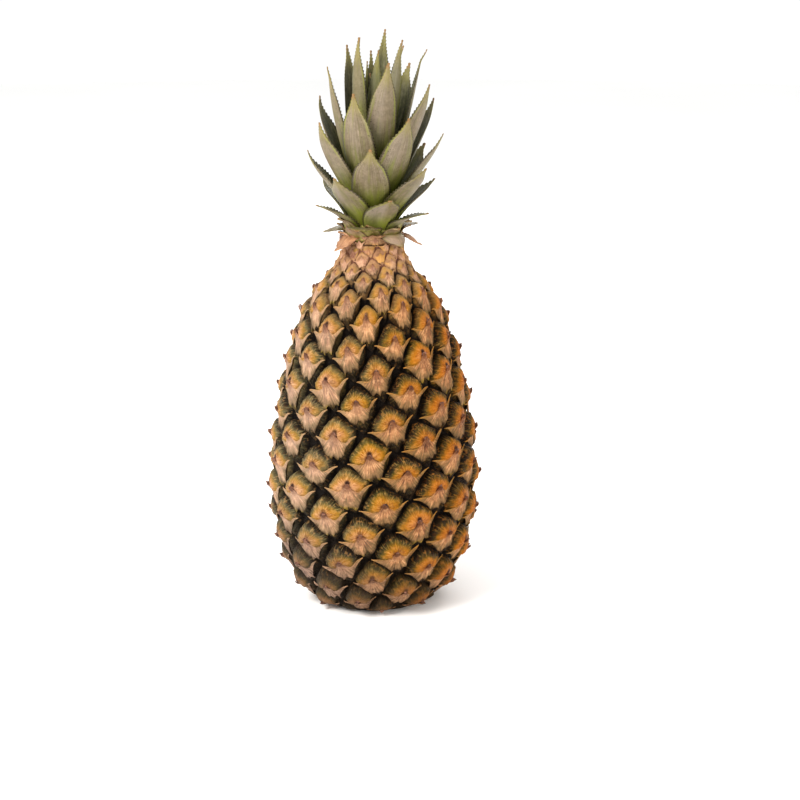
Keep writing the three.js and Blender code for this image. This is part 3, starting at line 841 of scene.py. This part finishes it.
def alongOutline(pairs, place):  # the value at a place in a list of pairs, evened between them
    places, values = zip(*pairs)
    if place <= places[0]:
        return values[0]
    if place >= places[-1]:
        return values[-1]
    i = max(k for k in range(len(places)) if places[k] <= place)
    straight = (place - places[i]) / (places[i + 1] - places[i])
    eased = straight * straight * (3 - 2 * straight)
    return values[i] + (values[i + 1] - values[i]) * (straight + eased) / 2


def crownStemRadius(height):
    share = min(max(height / crown["stemHeight"], 0), 1)
    return crown["stemRadius"] + (crown["stemTipRadius"] - crown["stemRadius"]) * share ** 1.15


def leafMidline(number):  # evenly spaced points (distance from the axis, height) and their directions
    closing = min(max((number - crown["outer"]) / (crown["leaves"] - crown["outer"]), 0), 1)
    climb = crown["tipStep"] * (min(number, crown["outer"]) - crown["levelLeaf"])
    tipHeight = max(crown["lowestTip"], climb) - crown["heartDrop"] * closing
    reach = alongOutline(crown["outline"], tipHeight)
    tipRadius = reach + (crown["heartRadius"] - reach) * math.sqrt(closing)
    rootShare = (number / (crown["leaves"] - 1)) ** crown["crowding"]
    rootHeight = crown["lowestRoot"] + (crown["highestRoot"] - crown["lowestRoot"]) * rootShare
    rootRadius = crownStemRadius(rootHeight)
    rootLean = math.radians(alongOutline(crown["rootLean"], number))
    tipLean = math.radians(alongOutline(crown["tipLean"], number))
    span = math.hypot(tipRadius - rootRadius, tipHeight - rootHeight)
    rise, fall = crown["sheath"] + 0.35 * span, 0.3 * span
    a = np.array([rootRadius - 2, rootHeight - 1.5])
    b = np.array([rootRadius + rise * math.sin(rootLean), rootHeight + rise * math.cos(rootLean)])
    c = np.array([tipRadius - fall * math.sin(tipLean), tipHeight - fall * math.cos(tipLean)])
    d = np.array([tipRadius, tipHeight])
    t = np.linspace(0, 1, 400)[:, None]
    points = a * (1 - t) ** 3 + 3 * b * t * (1 - t) ** 2 + 3 * c * t * t * (1 - t) + d * t ** 3
    length = np.concatenate([[0], np.cumsum(np.hypot(*np.diff(points, axis=0).T))])
    return points, length / length[-1], length[-1]


def leafShape(number):
    draws = np.random.default_rng(100 + number).random(8)
    points, share, length = leafMidline(number)
    halfWidth = alongOutline(crown["width"], number) / 2
    turn = crown["firstAngle"] - crown["golden"] * number
    teeth = max(6, round(length / blade["toothPitch"]))
    rows = 2 * teeth
    bm = bmesh.new()
    bladeMap = bm.loops.layers.uv.new("blade")
    traitMap = bm.loops.layers.uv.new("traits")
    deform = bm.verts.layers.deform.verify()
    verts, across, up = newSheet(bm, blade["columns"], rows)
    row = np.rint(up * rows)
    along = row / rows
    spread = np.sign(across) * np.abs(across) ** blade["crowding"]  # closer together at the margins
    r, z = (np.interp(along, share, values) for values in points.T)
    narrowing = np.clip((along - crown["widest"]) / (1 - crown["widest"]), 0, 1)
    outline = np.where(along < crown["widest"],
                       crown["rootShare"] + (1 - crown["rootShare"]) * smoothStep(along, 0, crown["widest"]),
                       1 - narrowing ** blade["taper"])
    outline = outline * (1 - blade["tipNarrowing"] * smoothStep(along, *blade["tipFrom"])) + blade["tipWidth"]
    edge = np.abs(across) > 0.99
    toothed = edge & (row % 2 == 1)
    point = np.where(toothed & (along > blade["toothFrom"]), blade["tooth"], 0) * (1 - 0.6 * along)
    reach = spread * (halfWidth * outline) + np.sign(across) * point
    wave = blade["wave"] * np.sin(along * 7 + draws[0] * 6) * across ** 2 * np.sin(np.pi * along)
    fold = blade["fold"] * np.abs(across) * np.sin(np.pi * along)
    radius = np.maximum(r - (crown["cup"] * reach ** 2) / halfWidth + wave - fold, 0.4)
    radius = radius + blade["hook"] * (2 * draws[2] - 0.6) * smoothStep(along, *blade["hookFrom"])
    angle = np.radians(turn) + reach / np.maximum(r, 3)
    x = radius * np.sin(angle)
    y = -radius * np.cos(angle)
    z = z + np.where(toothed, blade["toothUp"], 0)
    leaning = np.maximum(z, 0)
    z = z - 2 * crown["bend"] * leaning * x
    x = x + crown["bend"] * leaning ** 2
    dryness = max(0.0, blade["dryness"] - blade["drynessStep"] * (number - crown["dry"]))
    if number < crown["dry"]:
        dryness = 1.0
    onBlade = np.stack([spread / 2 + 0.5, along], axis=-1)
    placeSheet(verts, np.stack([x, y, z + crown["base"]], axis=-1),
               {bladeMap: onBlade, traitMap: (draws[1], dryness)})
    thin = np.minimum(1, np.maximum(spread ** 2, along ** 3))
    for vert, left in zip(verts, 1 - (1 - blade["margin"]) * thin):
        vert[deform][0] = left
    bmesh.ops.recalc_face_normals(bm, faces=bm.faces)
    outward = Vector((math.sin(math.radians(turn)), -math.cos(math.radians(turn)), 0))
    if sum(f.normal.dot(outward) * f.calc_area() for f in bm.faces) < 0:
        bmesh.ops.reverse_faces(bm, faces=bm.faces)
    return bm


def buildLeaves():
    outside, inside = leafMaterial("leafOutside"), leafMaterial("leafInside")
    for number in range(crown["leaves"]):
        node = f"crown_leaf_{number + 1:02d}"
        piece = newPiece(f"leafBlade_{number + 1:02d}", leafShape(number), outside, inside)
        piece.vertex_groups.new(name="thickness")
        shell = thicken(piece, blade["thickness"])
        shell.vertex_group = "thickness"
        shell.material_offset = 1
        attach(piece, "root")
        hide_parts(node)
    footScales = buildFootScales(outside)
    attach(footScales, "root")
    print("leaves done")


# Short scales that clothe the crown's foot

footScale = {
    "count": 15, "sizeVaries": (0.75, 0.4), "root": -1.2, "rise": 0.62, "height": 8.2, "halfWidth": 8.0,
    "taper": 2.2, "radius": 15.3, "radiusStep": 0.05, "flare": 4.6, "curl": 2.6, "droop": 3.4,
    "hollow": 0.9, "wave": 0.4, "firstTurn": 60, "dry": 3, "dryness": (0.9, 0.45),
    "columns": 8, "rows": 10, "thickness": 0.6,
}


def buildFootScales(material):
    bm = bmesh.new()
    bladeMap = bm.loops.layers.uv.new("blade")
    traitMap = bm.loops.layers.uv.new("traits")
    rng = np.random.default_rng(31)
    for number in range(footScale["count"]):
        draws = rng.random(5)
        verts, across, along = newSheet(bm, footScale["columns"], footScale["rows"])
        size = varied(footScale["sizeVaries"], draws[0])
        wide = footScale["halfWidth"] * size * (1 - along ** footScale["taper"]) + 0.15
        tip = smoothStep(along, 0.6, 1)
        radius = footScale["radius"] + number * footScale["radiusStep"]
        radius = radius + footScale["flare"] * along ** 1.6 * size
        radius = radius + footScale["curl"] * tip * draws[1] - footScale["hollow"] * across ** 2 * along
        z = footScale["root"] + footScale["rise"] * number + footScale["height"] * size * along
        z = z - footScale["droop"] * tip ** 2 * draws[2]
        z = z + footScale["wave"] * np.sin(across * 5 + 6 * draws[3]) * along
        turn = crown["firstAngle"] + footScale["firstTurn"] - crown["golden"] * number
        turn = np.radians(turn) + across * wide / radius
        most, others = footScale["dryness"]
        dryness = most if number < footScale["dry"] else others * draws[4]
        points = np.stack([radius * np.sin(turn), -radius * np.cos(turn), z + crown["base"]], axis=-1)
        onBlade = np.stack([across / 2 + 0.5, along], axis=-1)
        placeSheet(verts, points, {bladeMap: onBlade, traitMap: (draws[3], dryness)})
    bmesh.ops.recalc_face_normals(bm, faces=bm.faces)
    piece = newPiece("crownFootScales", bm, material)
    thicken(piece, footScale["thickness"])
    return piece


# Camera, light and floor

studio = {
    "aim": (0.0155, 0.0, 0.1195), "distance": 1.1, "elevation": 15.5, "lens": 84.7,
    "floorRadius": 3, "floorTones": [(0.0, "#f4f4f3"), (1.0, "#fafaf9")],
    "lampsAim": (0, 0, 0.15),
    # place in metres, size in metres, power in watts, colour
    "lamps": {
        "key": ((-0.85, -0.85, 1.15), 0.7, 25, (1.0, 0.97, 0.94)),
        "fill": ((1.1, -0.7, 0.35), 1.0, 7, (1.0, 0.95, 0.88)),
        "back": ((0.2, 1.1, 0.9), 1.0, 6, (1.0, 1.0, 1.0)),
    },
    "sky": 0.86,
}


def aimAt(thing, target):
    thing.rotation_euler = (Vector(target) - thing.location).to_track_quat("-Z", "Y").to_euler()


def buildStudio():
    scene = bpy.context.scene
    tilt = math.radians(studio["elevation"])
    camera = bpy.data.objects.new("camera", bpy.data.cameras.new("camera"))
    aim = Vector(studio["aim"])
    camera.location = aim + studio["distance"] * Vector((0, -math.cos(tilt), math.sin(tilt)))
    aimAt(camera, aim)
    camera.data.lens = studio["lens"]
    scene.collection.objects.link(camera)
    scene.camera = camera

    bm = bmesh.new()
    bmesh.ops.create_circle(bm, cap_ends=True, segments=64, radius=studio["floorRadius"])
    floorMaterial, tree, shader = newMaterial("floor", 0.9, 0.1)
    grain = noise(tree, objectCoordinates(tree), 3.0, 2.0, 0.55)
    tree.links.new(ramp(tree, grain, studio["floorTones"]), shader.inputs["Base Color"])
    newPiece("floor", bm, floorMaterial)

    for name, (place, size, power, tint) in studio["lamps"].items():
        lamp = bpy.data.lights.new(name, "AREA")
        lamp.shape, lamp.size = "DISK", size
        lamp.energy, lamp.color = power, tint
        holder = bpy.data.objects.new(name, lamp)
        holder.location = place
        aimAt(holder, studio["lampsAim"])
        scene.collection.objects.link(holder)
    world = bpy.data.worlds.new("studio")
    world.use_nodes = True
    world.node_tree.nodes["Background"].inputs["Color"].default_value = (1, 1, 1, 1)
    world.node_tree.nodes["Background"].inputs["Strength"].default_value = studio["sky"]
    scene.world = world
    scene.view_settings.view_transform = "Standard"
    scene.view_settings.look = "Medium High Contrast"
    print("studio done")


buildStudio()
eyes = eyeList()
fruitSkin = buildSkin()
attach(fruitSkin, "root")
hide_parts("fruit")
print("skin done")
eyeBracts = buildBracts(eyes, bractMaterial())
eyeSpines = buildSpines(eyes, spineMaterial())
for piece in (eyeBracts, eyeSpines):
    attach(piece, "root")
print("bracts done")
buildLeaves()
for node, material in (
    ("stalk", fibreMaterial("cutStalk", [(0.35, "#6b4d2e"), (0.5, "#a98a5c"), (0.65, "#cdb68a")])),
    ("crown_stem", fibreMaterial("paleStem", [(0.35, "#5f6a2e"), (0.5, "#93954c"), (0.65, "#b9ad74")])),
):
    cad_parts[node].data.materials.clear()
    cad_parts[node].data.materials.append(material)
